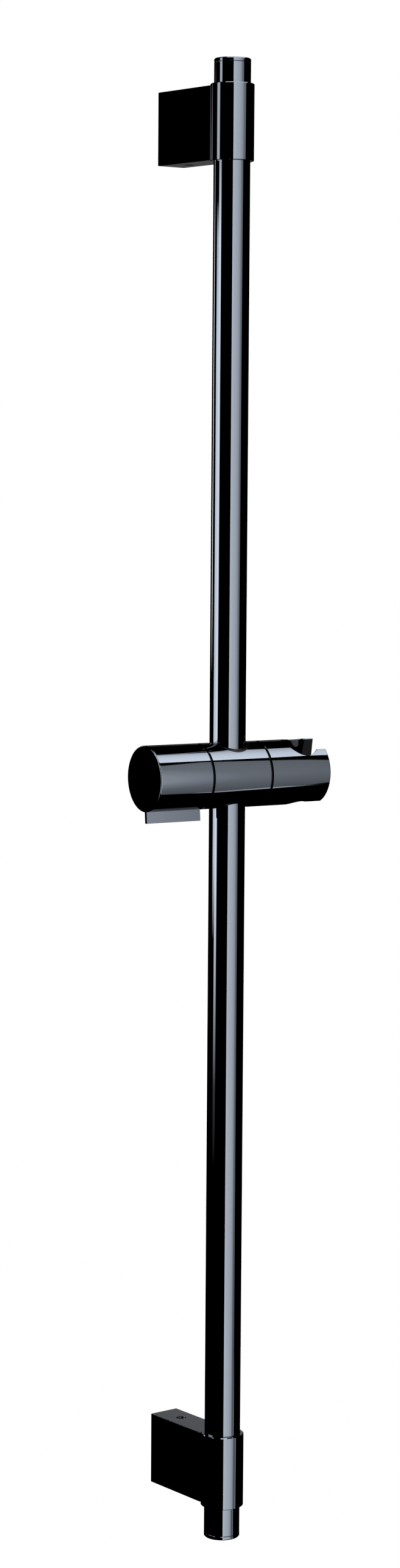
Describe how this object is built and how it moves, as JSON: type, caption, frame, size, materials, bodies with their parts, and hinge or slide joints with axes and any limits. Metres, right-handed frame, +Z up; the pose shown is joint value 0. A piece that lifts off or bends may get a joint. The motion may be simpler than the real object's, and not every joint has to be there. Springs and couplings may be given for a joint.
{
  "type": "shower slide rail",
  "caption": "Wall-mounted round shower rail on deep block brackets, with a sliding cross cylinder that has a finned clamp knob and a tilting slotted handset holder.",
  "frame": {"origin": "on the wall plane, midway between the two wall fixings", "axes": "+Z up along the tube, +Y into the wall, +X to the right seen from the front; the front faces -Y"},
  "size_m": [0.1239, 0.0863, 0.9],
  "materials": {
    "black_chromed_tube": "polished black chrome on steel tube",
    "black_chromed_casting": "polished black chrome on zinc casting",
    "black_chromed_abs": "black chrome plated ABS",
    "black_acetal": "moulded black acetal",
    "zinc_plate_casting": "bare zinc casting",
    "stainless_screw": "turned stainless steel",
    "turned_brass": "turned brass"
  },
  "bodies": {
    "rail": {"rail_tube": "black_chromed_tube", "top_end_cap": "black_chromed_abs", "bottom_end_cap": "black_chromed_abs", "top_bracket": "black_chromed_casting", "bottom_bracket": "black_chromed_casting", "top_wall_plate": "zinc_plate_casting", "bottom_wall_plate": "zinc_plate_casting", "top_grub_screw": "stainless_screw", "bottom_grub_screw": "stainless_screw", "top_tube_screw": "stainless_screw", "bottom_tube_screw": "stainless_screw"},
    "carriage": {"upper_guide": "black_acetal", "lower_guide": "black_acetal"},
    "slider": {"slider_body": "black_chromed_casting", "upper_wiper": "black_acetal", "lower_wiper": "black_acetal", "knob_washer": "black_acetal", "holder_washer": "black_acetal", "spindle_retainer": "turned_brass", "holder_screw": "stainless_screw", "holder_spring": "stainless_screw"},
    "knob": {"clamp_knob": "black_chromed_abs", "knob_end_cap": "black_chromed_abs", "knob_screw": "stainless_screw", "clamp_spindle": "turned_brass"},
    "pad": {"pad_carrier": "turned_brass", "brake_shoe": "black_acetal"},
    "holder": {"holder": "black_chromed_abs"}
  },
  "joints": [
    {"name": "slider_travel", "type": "slide", "parent": "rail", "child": "carriage", "axis": [0, 0, 1], "range_m": [-0.3875, 0.346]},
    {"name": "slider_swivel", "type": "hinge", "parent": "carriage", "child": "slider", "pos_m": [0, -0.06, 0.0207], "axis": [0, 0, 1], "range_deg": [-36, 48]},
    {"name": "knob_turn", "type": "hinge", "parent": "slider", "child": "knob", "pos_m": [0, -0.06, 0.0207], "axis": [0.9945, -0.1045, 0], "range_deg": [-90, 0]},
    {"name": "pad_press", "type": "slide", "parent": "slider", "child": "pad", "axis": [-0.9945, 0.1045, 0], "range_m": [0, 0.0006]},
    {"name": "holder_tilt", "type": "hinge", "parent": "slider", "child": "holder", "pos_m": [0, -0.06, 0.0207], "axis": [0.9945, -0.1045, 0], "range_deg": [-45, 45]}
  ],
  "couplings": [
    {"joint": "pad_press", "follows": "knob_turn", "m_per_rad": -0.00038}
  ]
}
